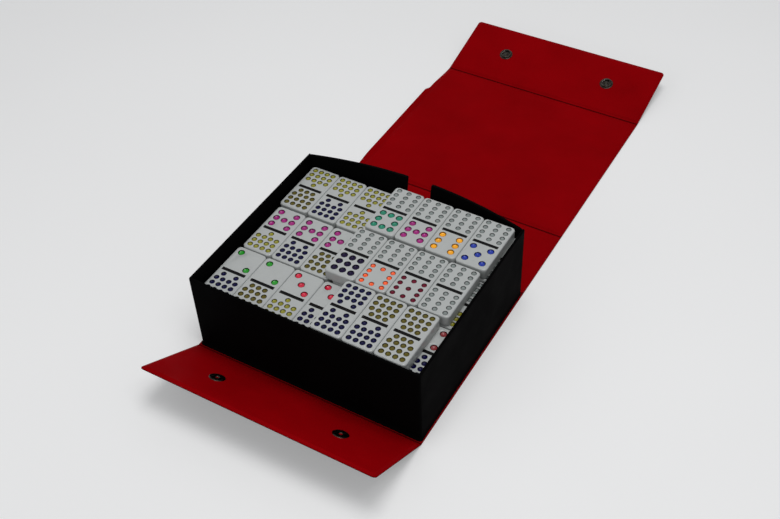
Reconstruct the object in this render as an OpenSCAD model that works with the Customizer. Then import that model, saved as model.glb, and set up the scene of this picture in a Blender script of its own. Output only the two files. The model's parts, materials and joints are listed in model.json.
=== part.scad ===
// Folding snap case for a large domino set.
// A covered board tray stands on the base of a five-panel vinyl wrap. The wrap lies open:
// its front flap is half raised, and its back panel, lid and closing flap lie behind the tray.
// X runs to the right, Y to the back, Z up. The origin is on the surface that the case
// stands on, under the middle of the tray. All sizes are in millimetres.

/* [Dominoes] */
// Width of one domino
tile_w = 25.4; // [18:0.1:32]
// Length of one domino
tile_l = 50.8; // [36:0.1:64]
// Thickness of one domino
tile_h = 9.5; // [6:0.1:13]
// Radius of a domino's corners seen from above
tile_corner_r = 3; // [1:0.1:5]
// Radius along a domino's face edges
tile_edge_r = 1.2; // [0.4:0.1:2.5]
// Space from one column of dominoes to the next
column_gap = 0.2; // [0.1:0.1:2]
// Space from one row of dominoes to the next
row_gap = 1; // [0.2:0.1:3]
// Diameter of a pip on halves with up to nine pips
big_pip_d = 5.5; // [3:0.1:6]
// Diameter of a pip on halves with ten to twelve pips
mid_pip_d = 4.1; // [3:0.1:5]
// Diameter of a pip on halves with thirteen or more pips
small_pip_d = 4.3; // [3:0.1:5]
// How far the patterns of four rows lie off the middle of their half, away from the bar
four_row_shift = 0.9; // [0:0.1:1.2]
// Depth of a pip
pip_depth = 0.7; // [0.2:0.1:1.2]
// Length of the bar that divides a face
bar_l = 20.5; // [10:0.5:24]
// Width of the bar that divides a face
bar_w = 2.8; // [1:0.1:4]
// Depth of the bar that divides a face
bar_depth = 0.4; // [0.2:0.1:1]

/* [Loose runs] */
// Where the first domino of the top back run lies, from the middle of the tray
top_back_x = 0; // [-12:0.1:4]
// Where the first domino of the top middle run lies, from the middle of the tray
top_middle_x = -1.9; // [-12:0.1:4]
// Where the first domino of the top front run lies, from the middle of the tray
top_front_x = 18.6; // [0:0.1:28]
// How far the lower back run lies to the right of its column
lower_back_shift = -1; // [-3.5:0.1:3.5]
// How far the lower middle run lies to the right of its column
lower_middle_shift = 1.3; // [-3.5:0.1:3.5]
// How far the lower front run lies to the right of its column
lower_front_shift = -0.1; // [-3.5:0.1:3.5]

/* [Tray] */
// Thickness of the tray's board
tray_board_t = 1.5; // [1.2:0.1:3]
// Thickness of the vinyl skin on the tray
tray_skin_t = 0.35; // [0.2:0.05:0.8]
// Free space beside the dominoes at each side wall
side_room = 4; // [2:0.1:12]
// Free space between the dominoes and the front and back walls
end_room = 0.8; // [0.2:0.1:6]
// Height of the rim above the top layer of dominoes
rim_rise = 0.5; // [0.2:0.1:20]
// How far the back wall's rim bows out at its middle
back_bow = 13.5; // [0:0.5:18]
// Width of the finger notch in the back wall
notch_w = 21; // [14:0.5:34]
// Depth of the finger notch below the rim
notch_depth = 32; // [20:0.5:46]
// Radius of the tray's front corners
tray_corner_r = 2; // [1:0.1:2.2]

/* [Wrap] */
// Thickness of the black cover sheet
cover_t = 0.4; // [0.3:0.05:0.8]
// Thickness of the red lining sheet
lining_t = 0.4; // [0.3:0.05:0.8]
// Thickness of the board in each panel
panel_board_t = 1.4; // [1:0.1:2.4]
// How far the wrap shows past each side of the tray
wrap_overhang = 1.3; // [0.5:0.1:6]
// Width of the welded edge round each panel
weld_w = 2.2; // [1.8:0.1:6]
// Width of the flexible strip at each crease
crease_w = 1.6; // [1:0.1:3]
// Distance from a crease to the board of the panel beside it
crease_to_board = 3.2; // [3.2:0.1:6]
// Length of the closing flap from its crease
closing_flap_l = 66.5; // [55:0.5:70]
// Radius of the free corners of both flaps
flap_corner_r = 3; // [1:0.5:12]
// Angle that the front flap stands raised at
front_flap_angle = 31; // [5:1:60]
// Angle that the closing flap stands raised at
closing_flap_angle = 14; // [3:0.5:45]

/* [Snaps] */
// Distance of each snap from the middle of the flap
snap_x = 52.2; // [20:0.1:80]
// Distance of each stud from the front flap's crease
stud_from_crease = 38.5; // [30:0.5:44]
// Diameter of the snap's flanges
snap_d = 12.4; // [11.4:0.1:15]
// Diameter of the stud's head
stud_d = 6.8; // [5.6:0.1:7]
// Bore of the socket beyond the stud's head
socket_clearance = 0.3; // [0.2:0.05:0.6]
// Diameter of the rivet post through each flap
post_d = 4; // [3:0.1:4.4]

/* [Clearances] */
// Space between the tray and a panel folded up beside it
panel_gap = 0.4; // [0.3:0.1:1]
// Space between the rim and the closed lid
lid_gap = 0.4; // [0.3:0.1:1]
// Space between the two flaps when the case is closed
snap_gap = 2.4; // [2.4:0.1:4]

/* [Hidden] */
$fn = 48;
COLUMNS = 7;
LAYERS_BELOW = 6;
cut = 0.2;
wall_room = 0.4;
slide_gap = 0.2;
flap_end_gap = 0.6;

flange_t = cover_t + lining_t;
panel_t = cover_t + panel_board_t + lining_t;
axis_z = flange_t / 2;
inner_rise = panel_t - axis_z;

column_pitch = tile_w + column_gap;
row_pitch = tile_l + row_gap;
wall_t = tray_board_t + 2 * tray_skin_t;
inside_w = (COLUMNS - 1) * column_pitch + tile_w + 2 * side_room;
inside_d = 2 * row_pitch + tile_l + 2 * end_room;
tray_w = inside_w + 2 * wall_t;
tray_d = inside_d + 2 * wall_t;
tray_z = panel_t;
stack_z = tray_z + tray_board_t + tray_skin_t;
top_z = stack_z + LAYERS_BELOW * tile_h;
rim_z = top_z + tile_h + rim_rise;
wrap_w = tray_w + 2 * wrap_overhang;

flange_disc_t = 0.35;
eyelet_h = 0.6;
stud_h = 1.6;
socket_h = 1.95;
cap_h = 1.1;
roll_h = 0.25;
roll_d = post_d + 0.9;
socket_bore_d = stud_d + 2 * socket_clearance;
socket_flange_w = 0.9;
socket_ring_d = snap_d - 2 * socket_flange_w;
spring_wire_d = 0.4;

back_crease_y = tray_d / 2 + panel_gap + inner_rise;
front_crease_y = tray_d / 2 + panel_gap + eyelet_h + inner_rise;
back_panel_l = rim_z + lid_gap + inner_rise - axis_z;
front_flap_l = back_panel_l - inner_rise - flap_end_gap;
closed_flap_y = front_crease_y + axis_z + snap_gap + inner_rise;
lid_l = back_crease_y + closed_flap_y;
lid_crease_y = back_crease_y + back_panel_l;
closing_crease_y = lid_crease_y + lid_l;
socket_from_crease = back_panel_l - stud_from_crease;

// Each face is [pips on the back half, pips on the front half].
TOP_BACK = [[12, 8], [12, 7], [12, 6], [12, 5]];
TOP_MIDDLE = [[12, 9], [12, 10], [12, 11], [12, 12]];
TOP_FRONT = [[14, 14], [15, 14], [15, 15]];
LOWER_BACK = [[13, 15], [13, 14], [13, 13]];
LOWER_MIDDLE = [[7, 13], [7, 14], [7, 15]];
LOWER_FRONT = [[2, 14], [2, 15], [3, 13], [3, 14]];
EDGE_FACES = [[0, 12], [12, 13], [4, 14]];
// How many dominoes each run of the lower layer has at the right wall, from the back.
EDGE_RUNS = [4, 4, 3];

// Where the lower runs start, and where the lower dominoes at the right wall lie.
FIRST_COLUMN_X = -(COLUMNS - 1) / 2 * column_pitch;
LOWER_BACK_X = FIRST_COLUMN_X + lower_back_shift;
LOWER_MIDDLE_X = FIRST_COLUMN_X + lower_middle_shift;
LOWER_FRONT_X = FIRST_COLUMN_X + lower_front_shift;
EDGE_X = inside_w / 2 - tile_w / 2 - wall_room;
// The upper back rows have slid back until they nearly meet the bowed wall.
back_slide = end_room + bow(EDGE_X + tile_w / 2 - tile_corner_r) * lean(top_z - tile_h) - slide_gap;
ROWS = [row_pitch + back_slide, 0, -row_pitch];
PLAIN_ROWS = [row_pitch, 0, -row_pitch];

black_vinyl = [0.04, 0.04, 0.045];
red_vinyl = [0.62, 0.02, 0.05];
grey_board = [0.55, 0.52, 0.46];
tile_white = [0.9, 0.89, 0.85];
nickel = [0.7, 0.7, 0.68];

// Where the pips of a half face lie, as [across, away from the bar] from the half's middle.
big = tile_w * 0.276;
wide = tile_w * 0.327;
step = tile_w * 0.216;
four = [-1.5, -0.5, 0.5, 1.5];
corners = [[-big, -big], [big, -big], [-big, big], [big, big]];
sides = [[-big, 0], [big, 0]];
ends = [[0, -big], [0, big]];
four_rows = [for (y = four) y * step + four_row_shift];
two_fours = [for (x = [-wide, wide], y = four_rows) [x, y]];
three_rows = [for (x = four, y = [-0.5, 0.5, 1.5]) [x * step, y * step]];

function inner_row(places) = [for (x = places) [x * step, -1.45 * step]];
function pips(n) =
    n == 1 ? [[0, 0]] :
    n == 2 ? [corners[1], corners[2]] :
    n == 3 ? [corners[1], [0, 0], corners[2]] :
    n == 4 ? corners :
    n == 5 ? concat(corners, [[0, 0]]) :
    n == 6 ? concat(corners, sides) :
    n == 7 ? concat(corners, sides, [[0, 0]]) :
    n == 8 ? concat(corners, sides, ends) :
    n == 9 ? concat(corners, sides, ends, [[0, 0]]) :
    n == 10 ? concat(two_fours, [[0, four_rows[0]], [0, four_rows[3]]]) :
    n == 11 ? concat(two_fours, [[0, four_rows[0]], [0, four_row_shift], [0, four_rows[3]]]) :
    n == 12 ? concat(two_fours, [for (y = four_rows) [0, y]]) :
    n == 13 ? concat(three_rows, inner_row([0])) :
    n == 14 ? concat(three_rows, inner_row([-1, 1])) :
    n == 15 ? concat(three_rows, inner_row([-1, 0, 1])) : [];
function pip_d(n) = n < 10 ? big_pip_d : n < 13 ? mid_pip_d : small_pip_d;

// A rectangle centred on the origin with round corners.
module round_rect(w, d, r) {
    square([w - 2 * r, d], center = true);
    square([w, d - 2 * r], center = true);
    for (x = [-1, 1], y = [-1, 1])
        translate([x * (w / 2 - r), y * (d / 2 - r)])
            circle(r);
}

// A domino without pips, standing on z = 0: its outline from above meets its two side views.
module tile_blank() {
    intersection() {
        linear_extrude(tile_h)
            round_rect(tile_w, tile_l, tile_corner_r);
        rotate([90, 0, 0])
            translate([0, tile_h / 2, -tile_l / 2 - cut])
                linear_extrude(tile_l + 2 * cut)
                    round_rect(tile_w, tile_h, tile_edge_r);
        rotate([90, 0, 90])
            translate([0, tile_h / 2, -tile_w / 2 - cut])
                linear_extrude(tile_w + 2 * cut)
                    round_rect(tile_l, tile_h, tile_edge_r);
    }
}

// The dimples of one half, as balls that touch down to the pip's depth.
module half_pips(n) {
    ball_r = (pow(pip_d(n) / 2, 2) + pow(pip_depth, 2)) / (2 * pip_depth);
    for (p = pips(n))
        translate([p[0], tile_l / 4 + p[1], tile_h + ball_r - pip_depth])
            sphere(ball_r, $fn = 32);
}

module domino(face) {
    color(tile_white)
        difference() {
            tile_blank();
            translate([-bar_l / 2, -bar_w / 2, tile_h - bar_depth])
                cube([bar_l, bar_w, bar_depth + cut]);
            half_pips(face[0]);
            rotate([0, 0, 180])
                half_pips(face[1]);
        }
}

// One visible domino: layer 0 is the lower one, and the row counts from the back.
module placed_domino(run, i, start_x, row, layer) {
    translate([start_x + i * column_pitch, ROWS[row], top_z - tile_h + layer * tile_h])
        domino(run[i]);
}

module plain_domino() {
    color(tile_white)
        linear_extrude(tile_h)
            round_rect(tile_w, tile_l, tile_corner_r);
}

// Lower dominoes under the top layer. Only the last of each run shows, beside the right wall.
module sixth_layer_right() {
    for (row = [0, 1, 2]) {
        placed_domino([EDGE_FACES[row]], 0, EDGE_X, row, 0);
        for (i = [1:EDGE_RUNS[row] - 1])
            translate([EDGE_X - i * column_pitch, ROWS[row], top_z - tile_h])
                plain_domino();
    }
}

// A full hidden layer. The set leaves one place free in the lowest one.
module hidden_layer(level, left_out = 0) {
    for (c = [0:COLUMNS - 1], row = [0, 1, 2])
        if (c + COLUMNS * row >= left_out)
            translate([FIRST_COLUMN_X + c * column_pitch, PLAIN_ROWS[row], stack_z + level * tile_h])
                plain_domino();
}

// Puts a panel's own frame at a crease: its X axis is the fold line, and the panel runs along Y.
module at_crease(y, angle, forward = false) {
    translate([0, y, axis_z])
        rotate([0, 0, forward ? 180 : 0])
            rotate([angle, 0, 0])
                translate([0, 0, -axis_z])
                    children();
}

// The outline of a panel's sheets from start to finish, with round corners at a free end.
module sheet_outline(start, finish, free, grow = 0) {
    r = free ? flap_corner_r : 0;
    w = wrap_w + 2 * grow;
    translate([-w / 2, start - grow])
        square([w, finish - start - r + (free ? grow : 2 * grow)]);
    if (free) {
        translate([-w / 2 + r, start])
            square([w - 2 * r, finish + grow - start]);
        for (x = [-1, 1])
            translate([x * (w / 2 - r), finish + grow - r])
                circle(r);
    }
}

module board_outline(start, finish, grow = 0) {
    w = wrap_w - 2 * weld_w - 2 * lining_t + 2 * grow;
    translate([-w / 2, start - grow])
        square([w, finish - start + 2 * grow]);
}

// A panel's three layers. l is the distance between its fold lines, or to its free edge.
function sheet_end(l, free) = free ? l : l - crease_w / 2;
function board_end(l, free) = free ? l - weld_w - lining_t : l - crease_to_board;

module panel_cover(l, free = false) {
    color(black_vinyl)
        linear_extrude(cover_t)
            sheet_outline(crease_w / 2, sheet_end(l, free), free);
}

module panel_board(l, free = false) {
    color(grey_board)
        translate([0, 0, cover_t])
            linear_extrude(panel_board_t)
                board_outline(crease_to_board, board_end(l, free));
}

module panel_lining(l, free = false) {
    color(red_vinyl)
        difference() {
            translate([0, 0, cover_t])
                union() {
                    linear_extrude(lining_t)
                        sheet_outline(crease_w / 2, sheet_end(l, free), free);
                    linear_extrude(panel_board_t + lining_t)
                        board_outline(crease_to_board, board_end(l, free), lining_t);
                }
            translate([0, 0, cover_t - cut])
                linear_extrude(panel_board_t + cut)
                    board_outline(crease_to_board, board_end(l, free));
        }
}

// A welded strip, bent at the fold line: its section is one half in each panel's plane.
module crease(angle) {
    half = crease_w / 2;
    bend = axis_z * tan(angle / 2);
    function turned_up(y, z) = [y * cos(angle) - z * sin(angle), y * sin(angle) + z * cos(angle)];
    color(red_vinyl)
        translate([-wrap_w / 2, 0, 0])
            rotate([90, 0, 90])
                linear_extrude(wrap_w)
                    polygon([
                        [-half, -axis_z], [bend, -axis_z], turned_up(half, -axis_z),
                        turned_up(half, axis_z), [-bend, axis_z], [-half, axis_z]
                    ]);
}

module holes_at(distance) {
    difference() {
        children();
        for (x = [-snap_x, snap_x])
            translate([x, distance, -cut])
                cylinder(d = post_d, h = panel_t + 2 * cut);
    }
}

module front_flap_frame() {
    at_crease(-front_crease_y, front_flap_angle, true)
        children();
}

module closing_flap_frame() {
    at_crease(closing_crease_y, closing_flap_angle)
        children();
}

module base_frame() {
    translate([0, -front_crease_y, 0])
        children();
}

base_l = front_crease_y + back_crease_y;

// Tray: vinyl over three walls of board, open to the back. The back wall is a piece of its own.
module tray_outer(inset) {
    r = tray_corner_r - inset;
    w = tray_w - 2 * inset;
    translate([-w / 2, -tray_d / 2 + tray_corner_r])
        square([w, tray_d - inset - tray_corner_r]);
    translate([-w / 2 + r, -tray_d / 2 + inset])
        square([w - 2 * r, tray_corner_r]);
    for (x = [-1, 1])
        translate([x * (w / 2 - r), -tray_d / 2 + tray_corner_r])
            circle(r);
}

module tray_cover() {
    color(black_vinyl)
        difference() {
            translate([0, 0, tray_z])
                linear_extrude(rim_z - tray_z)
                    difference() {
                        tray_outer(0);
                        translate([-inside_w / 2, -inside_d / 2])
                            square([inside_w, tray_d]);
                    }
            front_wall_board();
            left_wall_board();
            right_wall_board();
        }
}

module front_wall_board() {
    color(grey_board)
        translate([0, 0, tray_z])
            linear_extrude(rim_z - tray_z - tray_skin_t)
                intersection() {
                    tray_outer(tray_skin_t);
                    translate([-tray_w / 2, -tray_d / 2])
                        square([tray_w, tray_skin_t + tray_board_t]);
                }
}

module side_wall_board() {
    color(grey_board)
        translate([0, 0, tray_z])
            linear_extrude(rim_z - tray_z - tray_skin_t)
                intersection() {
                    tray_outer(tray_skin_t);
                    translate([inside_w / 2 + tray_skin_t, -tray_d / 2 + tray_skin_t + tray_board_t])
                        square([tray_board_t, tray_d]);
                }
}

module right_wall_board() {
    side_wall_board();
}

module left_wall_board() {
    mirror([1, 0, 0])
        side_wall_board();
}

// The back wall stands straight on the floor, and its rim bows out to the back.
// Each cross-section has four corners, and the wall is ruled from a straight foot to a curved rim.
bow_steps = 36;
function bow(x) = back_bow * (1 - pow(2 * x / inside_w, 2));
function lean(z) = (z - tray_z) / (rim_z - tray_z);
module bowed_slab(inset, foot, head) {
    half = inside_w / 2 - inset;
    y_in = inside_d / 2 + inset;
    y_out = y_in + wall_t - 2 * inset;
    points = [
        for (i = [0:bow_steps])
            let (x = half * (2 * i / bow_steps - 1))
                for (yz = [[y_out, foot], [y_out, head], [y_in, head], [y_in, foot]])
                    [x, yz[0] + bow(x) * lean(yz[1]), yz[1]]
    ];
    last = 4 * bow_steps;
    sides = [
        for (i = [0:bow_steps - 1], k = [0:3])
            let (a = 4 * i + k, b = 4 * i + (k + 1) % 4)
                k < 2 ? [[a, a + 4, b + 4], [a, b + 4, b]] : [[a, a + 4, b], [b, a + 4, b + 4]]
    ];
    faces = concat(
        [[0, 1, 2, 3], [last + 3, last + 2, last + 1, last]],
        [for (pair = sides, face = pair) face]
    );
    polyhedron(points, faces);
}

// The finger notch: straight sides and a round foot, cut along Y.
module notch(grow) {
    r = notch_w / 2 + grow;
    translate([0, inside_d / 2 - cut, rim_z - notch_depth + notch_w / 2])
        rotate([-90, 0, 0])
            linear_extrude(wall_t + back_bow + 2 * cut) {
                circle(r);
                translate([-r, -notch_depth])
                    square([2 * r, notch_depth]);
            }
}

module back_wall_board() {
    color(grey_board)
        difference() {
            bowed_slab(tray_skin_t, tray_z, rim_z - tray_skin_t);
            notch(tray_skin_t);
        }
}

module back_wall_cover() {
    color(black_vinyl)
        difference() {
            bowed_slab(0, tray_z, rim_z);
            notch(0);
            difference() {
                bowed_slab(tray_skin_t, tray_z - cut, rim_z - tray_skin_t);
                notch(tray_skin_t);
            }
        }
}

module floor_board() {
    color(grey_board)
        translate([-inside_w / 2, -inside_d / 2, tray_z])
            cube([inside_w, inside_d, tray_board_t]);
}

module floor_lining() {
    color(black_vinyl)
        translate([-inside_w / 2, -inside_d / 2, tray_z + tray_board_t])
            cube([inside_w, inside_d, tray_skin_t]);
}

// Snap parts are turned profiles: each point is [radius, height] over the sheet that it sits on.
module turned(points) {
    color(nickel)
        rotate_extrude()
            polygon(points);
}

module on_closing_flap() {
    closing_flap_frame()
        for (x = [-snap_x, snap_x])
            translate([x, socket_from_crease, 0])
                children();
}

module on_front_flap() {
    front_flap_frame()
        for (x = [-snap_x, snap_x])
            translate([x, stud_from_crease, 0])
                children();
}

// Domed cap under the closing flap, with the post that holds the socket.
module snap_caps() {
    post = panel_t + flange_disc_t;
    on_closing_flap()
        turned([
            [0, -cap_h], [snap_d * 0.25, -cap_h * 0.92], [snap_d * 0.4, -cap_h * 0.66],
            [snap_d / 2, -cap_h * 0.3], [snap_d / 2, 0], [post_d / 2, 0], [post_d / 2, post],
            [roll_d / 2, post], [roll_d / 2 - 0.2, post + roll_h], [post_d / 2 - 0.6, post + roll_h],
            [post_d / 2 - 0.6, 0.2], [0, 0.2]
        ]);
}

module snap_sockets() {
    lip = 0.3;
    on_closing_flap()
        translate([0, 0, panel_t])
            turned([
                [post_d / 2, 0], [snap_d / 2, 0], [snap_d / 2, flange_disc_t],
                [socket_ring_d / 2, flange_disc_t], [socket_ring_d / 2, socket_h - 0.3],
                [socket_ring_d / 2 - 0.3, socket_h], [socket_bore_d / 2, socket_h],
                [socket_bore_d / 2, socket_h - lip], [socket_bore_d / 2 + 0.5, socket_h - lip],
                [socket_bore_d / 2 + 0.5, flange_disc_t], [post_d / 2, flange_disc_t]
            ]);
}

// Two bowed wires in each socket's groove, which snap round the stud's neck.
module socket_springs() {
    span = 100;
    on_closing_flap()
        translate([0, 0, panel_t + (flange_disc_t + socket_h - 0.3) / 2])
            for (side = [0, 180])
                rotate([0, 0, side - span / 2])
                    color(nickel)
                        rotate_extrude(angle = span)
                            translate([socket_bore_d / 2 + 0.5 - spring_wire_d / 2, 0])
                                circle(d = spring_wire_d, $fn = 16);
}

// Stud on the front flap's black side, seen when the case is closed.
module snap_studs() {
    on_front_flap()
        mirror([0, 0, 1])
            turned([
                [post_d / 2, 0], [snap_d / 2, 0], [snap_d / 2 - 0.2, flange_disc_t],
                [stud_d / 2 - 0.35, flange_disc_t], [stud_d / 2 - 0.35, flange_disc_t + 0.3],
                [stud_d / 2, flange_disc_t + 0.65], [stud_d / 2 - 0.1, stud_h - 0.2],
                [stud_d / 2 - 0.4, stud_h], [post_d / 2, stud_h]
            ]);
}

// Eyelet on the front flap's red side, whose post is rolled inside the stud.
module snap_eyelets() {
    on_front_flap()
        turned([
            [post_d / 2 - 0.6, panel_t], [post_d / 2 - 0.2, panel_t + eyelet_h * 0.5],
            [post_d / 2 + 0.4, panel_t + eyelet_h], [snap_d * 0.36, panel_t + eyelet_h],
            [snap_d * 0.46, panel_t + eyelet_h * 0.6], [snap_d / 2, panel_t],
            [post_d / 2, panel_t], [post_d / 2, -stud_h], [post_d / 2 - 0.6, -stud_h]
        ]);
}

base_frame() panel_cover(base_l);  // base_cover
base_frame() panel_board(base_l);  // base_board
base_frame() panel_lining(base_l);  // base_lining
front_flap_frame() holes_at(stud_from_crease) panel_cover(front_flap_l, true);  // front_flap_cover
front_flap_frame() holes_at(stud_from_crease) panel_board(front_flap_l, true);  // front_flap_board
front_flap_frame() holes_at(stud_from_crease) panel_lining(front_flap_l, true);  // front_flap_lining
at_crease(back_crease_y, 0) panel_cover(back_panel_l);  // back_panel_cover
at_crease(back_crease_y, 0) panel_board(back_panel_l);  // back_panel_board
at_crease(back_crease_y, 0) panel_lining(back_panel_l);  // back_panel_lining
at_crease(lid_crease_y, 0) panel_cover(lid_l);  // lid_cover
at_crease(lid_crease_y, 0) panel_board(lid_l);  // lid_board
at_crease(lid_crease_y, 0) panel_lining(lid_l);  // lid_lining
closing_flap_frame() holes_at(socket_from_crease) panel_cover(closing_flap_l, true);  // closing_flap_cover
closing_flap_frame() holes_at(socket_from_crease) panel_board(closing_flap_l, true);  // closing_flap_board
closing_flap_frame() holes_at(socket_from_crease) panel_lining(closing_flap_l, true);  // closing_flap_lining
translate([0, -front_crease_y, axis_z]) rotate([0, 0, 180]) crease(front_flap_angle);  // front_crease
translate([0, back_crease_y, axis_z]) crease(0);  // back_crease
translate([0, lid_crease_y, axis_z]) crease(0);  // lid_crease
translate([0, closing_crease_y, axis_z]) crease(closing_flap_angle);  // closing_crease
tray_cover();
front_wall_board();
left_wall_board();
right_wall_board();
back_wall_cover();
back_wall_board();
floor_board();
floor_lining();
snap_caps();
snap_sockets();
socket_springs();
snap_studs();
snap_eyelets();
placed_domino(TOP_BACK, 0, top_back_x, 0, 1);  // domino_12_8
placed_domino(TOP_BACK, 1, top_back_x, 0, 1);  // domino_12_7
placed_domino(TOP_BACK, 2, top_back_x, 0, 1);  // domino_12_6
placed_domino(TOP_BACK, 3, top_back_x, 0, 1);  // domino_12_5
placed_domino(TOP_MIDDLE, 0, top_middle_x, 1, 1);  // domino_12_9
placed_domino(TOP_MIDDLE, 1, top_middle_x, 1, 1);  // domino_12_10
placed_domino(TOP_MIDDLE, 2, top_middle_x, 1, 1);  // domino_12_11
placed_domino(TOP_MIDDLE, 3, top_middle_x, 1, 1);  // domino_12_12
placed_domino(TOP_FRONT, 0, top_front_x, 2, 1);  // domino_14_14
placed_domino(TOP_FRONT, 1, top_front_x, 2, 1);  // domino_15_14
placed_domino(TOP_FRONT, 2, top_front_x, 2, 1);  // domino_15_15
placed_domino(LOWER_BACK, 0, LOWER_BACK_X, 0, 0);  // domino_13_15
placed_domino(LOWER_BACK, 1, LOWER_BACK_X, 0, 0);  // domino_13_14
placed_domino(LOWER_BACK, 2, LOWER_BACK_X, 0, 0);  // domino_13_13
placed_domino(LOWER_MIDDLE, 0, LOWER_MIDDLE_X, 1, 0);  // domino_7_13
placed_domino(LOWER_MIDDLE, 1, LOWER_MIDDLE_X, 1, 0);  // domino_7_14
placed_domino(LOWER_MIDDLE, 2, LOWER_MIDDLE_X, 1, 0);  // domino_7_15
placed_domino(LOWER_FRONT, 0, LOWER_FRONT_X, 2, 0);  // domino_2_14
placed_domino(LOWER_FRONT, 1, LOWER_FRONT_X, 2, 0);  // domino_2_15
placed_domino(LOWER_FRONT, 2, LOWER_FRONT_X, 2, 0);  // domino_3_13
placed_domino(LOWER_FRONT, 3, LOWER_FRONT_X, 2, 0);  // domino_3_14
sixth_layer_right();
hidden_layer(0, 1);  // first_layer
hidden_layer(1);  // second_layer
hidden_layer(2);  // third_layer
hidden_layer(3);  // fourth_layer
hidden_layer(4);  // fifth_layer
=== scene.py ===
import json
import math

import bpy
import bmesh
import numpy as np
from mathutils import Matrix, Vector
from mathutils.geometry import delaunay_2d_cdt


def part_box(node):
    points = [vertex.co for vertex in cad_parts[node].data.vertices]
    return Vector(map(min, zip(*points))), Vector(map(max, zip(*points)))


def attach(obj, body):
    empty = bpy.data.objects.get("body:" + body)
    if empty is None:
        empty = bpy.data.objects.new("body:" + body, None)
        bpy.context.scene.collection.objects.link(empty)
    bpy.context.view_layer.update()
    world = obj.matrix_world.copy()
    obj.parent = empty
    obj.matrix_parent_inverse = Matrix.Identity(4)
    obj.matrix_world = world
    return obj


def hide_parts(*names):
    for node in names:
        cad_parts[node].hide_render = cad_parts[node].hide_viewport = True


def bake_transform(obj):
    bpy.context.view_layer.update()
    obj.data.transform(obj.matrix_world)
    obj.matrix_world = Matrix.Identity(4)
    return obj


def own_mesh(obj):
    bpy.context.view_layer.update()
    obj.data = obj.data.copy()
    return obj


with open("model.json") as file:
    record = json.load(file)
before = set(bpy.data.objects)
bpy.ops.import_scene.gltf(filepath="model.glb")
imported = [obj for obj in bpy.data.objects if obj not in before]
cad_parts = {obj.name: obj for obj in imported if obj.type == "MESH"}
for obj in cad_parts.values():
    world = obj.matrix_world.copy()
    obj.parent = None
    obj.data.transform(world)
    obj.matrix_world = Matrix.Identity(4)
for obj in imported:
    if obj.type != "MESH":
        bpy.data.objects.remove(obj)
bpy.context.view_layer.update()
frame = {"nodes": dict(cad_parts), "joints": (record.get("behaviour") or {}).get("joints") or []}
NODES = frame["nodes"]
JOINT_AT = {j["name"]: j["pos_m"] for j in frame["joints"]}
MM = 0.001
scene = bpy.context.scene


# Camera: an ordinary lens, fitted to the picture's viewpoint.
IMAGE_W = 780
SENSOR_MM = 36
FOCAL_PX = 1138.04
CAM_AT = (0.33490, -0.49485, 0.65071)
CAM_ROWS = (
    (0.864893, 0.500890, -0.032704),
    (0.331447, -0.618813, -0.712189),
    (-0.376966, 0.605127, -0.701226),
)
cam_data = bpy.data.cameras.new("camera")
cam_data.sensor_width = SENSOR_MM
cam_data.lens = FOCAL_PX / IMAGE_W * SENSOR_MM
cam_data.clip_start = 0.02
cam_data.clip_end = 60
camera = bpy.data.objects.new("camera", cam_data)
scene.collection.objects.link(camera)
right, down, ahead = (Vector(r) for r in CAM_ROWS)
turn = Matrix((right, -down, -ahead)).transposed()
camera.matrix_world = Matrix.Translation(CAM_AT) @ turn.to_4x4()
scene.camera = camera
scene.view_settings.view_transform = "Standard"


# Node helpers.
def new_material(name):
    mat = bpy.data.materials.new(name)
    mat.use_nodes = True
    tree = mat.node_tree
    tree.nodes.clear()
    out = tree.nodes.new("ShaderNodeOutputMaterial")
    shader = tree.nodes.new("ShaderNodeBsdfPrincipled")
    tree.links.new(shader.outputs[0], out.inputs[0])
    return mat, tree, shader


def coords(tree, scale=(1, 1, 1)):
    tex = tree.nodes.new("ShaderNodeTexCoord")
    mapping = tree.nodes.new("ShaderNodeMapping")
    mapping.inputs["Scale"].default_value = scale
    tree.links.new(tex.outputs["Object"], mapping.inputs[0])
    return mapping.outputs[0]


def noise(tree, vector, scale, detail=3.0, rough=0.5, distort=0.0):
    n = tree.nodes.new("ShaderNodeTexNoise")
    n.inputs["Scale"].default_value = scale
    n.inputs["Detail"].default_value = detail
    n.inputs["Roughness"].default_value = rough
    n.inputs["Distortion"].default_value = distort
    tree.links.new(vector, n.inputs["Vector"])
    return n.outputs["Fac"]


def soft_cells(tree, vector, scale):
    n = tree.nodes.new("ShaderNodeTexVoronoi")
    n.feature = "SMOOTH_F1"
    n.inputs["Scale"].default_value = scale
    tree.links.new(vector, n.inputs["Vector"])
    return n.outputs["Distance"]


def ramp(tree, fac, stops):
    n = tree.nodes.new("ShaderNodeValToRGB")
    while len(n.color_ramp.elements) < len(stops):
        n.color_ramp.elements.new(0.5)
    for e, (at, colour) in zip(n.color_ramp.elements, stops):
        e.position = at
        e.color = tuple(colour) + (1,)
    tree.links.new(fac, n.inputs[0])
    return n.outputs[0]


def spread(tree, fac, low, high, at=(0.3, 0.7)):
    n = tree.nodes.new("ShaderNodeMapRange")
    n.inputs[1].default_value = at[0]
    n.inputs[2].default_value = at[1]
    n.inputs[3].default_value = low
    n.inputs[4].default_value = high
    tree.links.new(fac, n.inputs[0])
    return n.outputs[0]


def bump(tree, shader, heights):
    last = None
    for height, strength, distance in heights:
        n = tree.nodes.new("ShaderNodeBump")
        n.inputs["Strength"].default_value = strength
        n.inputs["Distance"].default_value = distance
        tree.links.new(height, n.inputs["Height"])
        if last is not None:
            tree.links.new(last, n.inputs["Normal"])
        last = n.outputs[0]
    tree.links.new(last, shader.inputs["Normal"])


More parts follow.
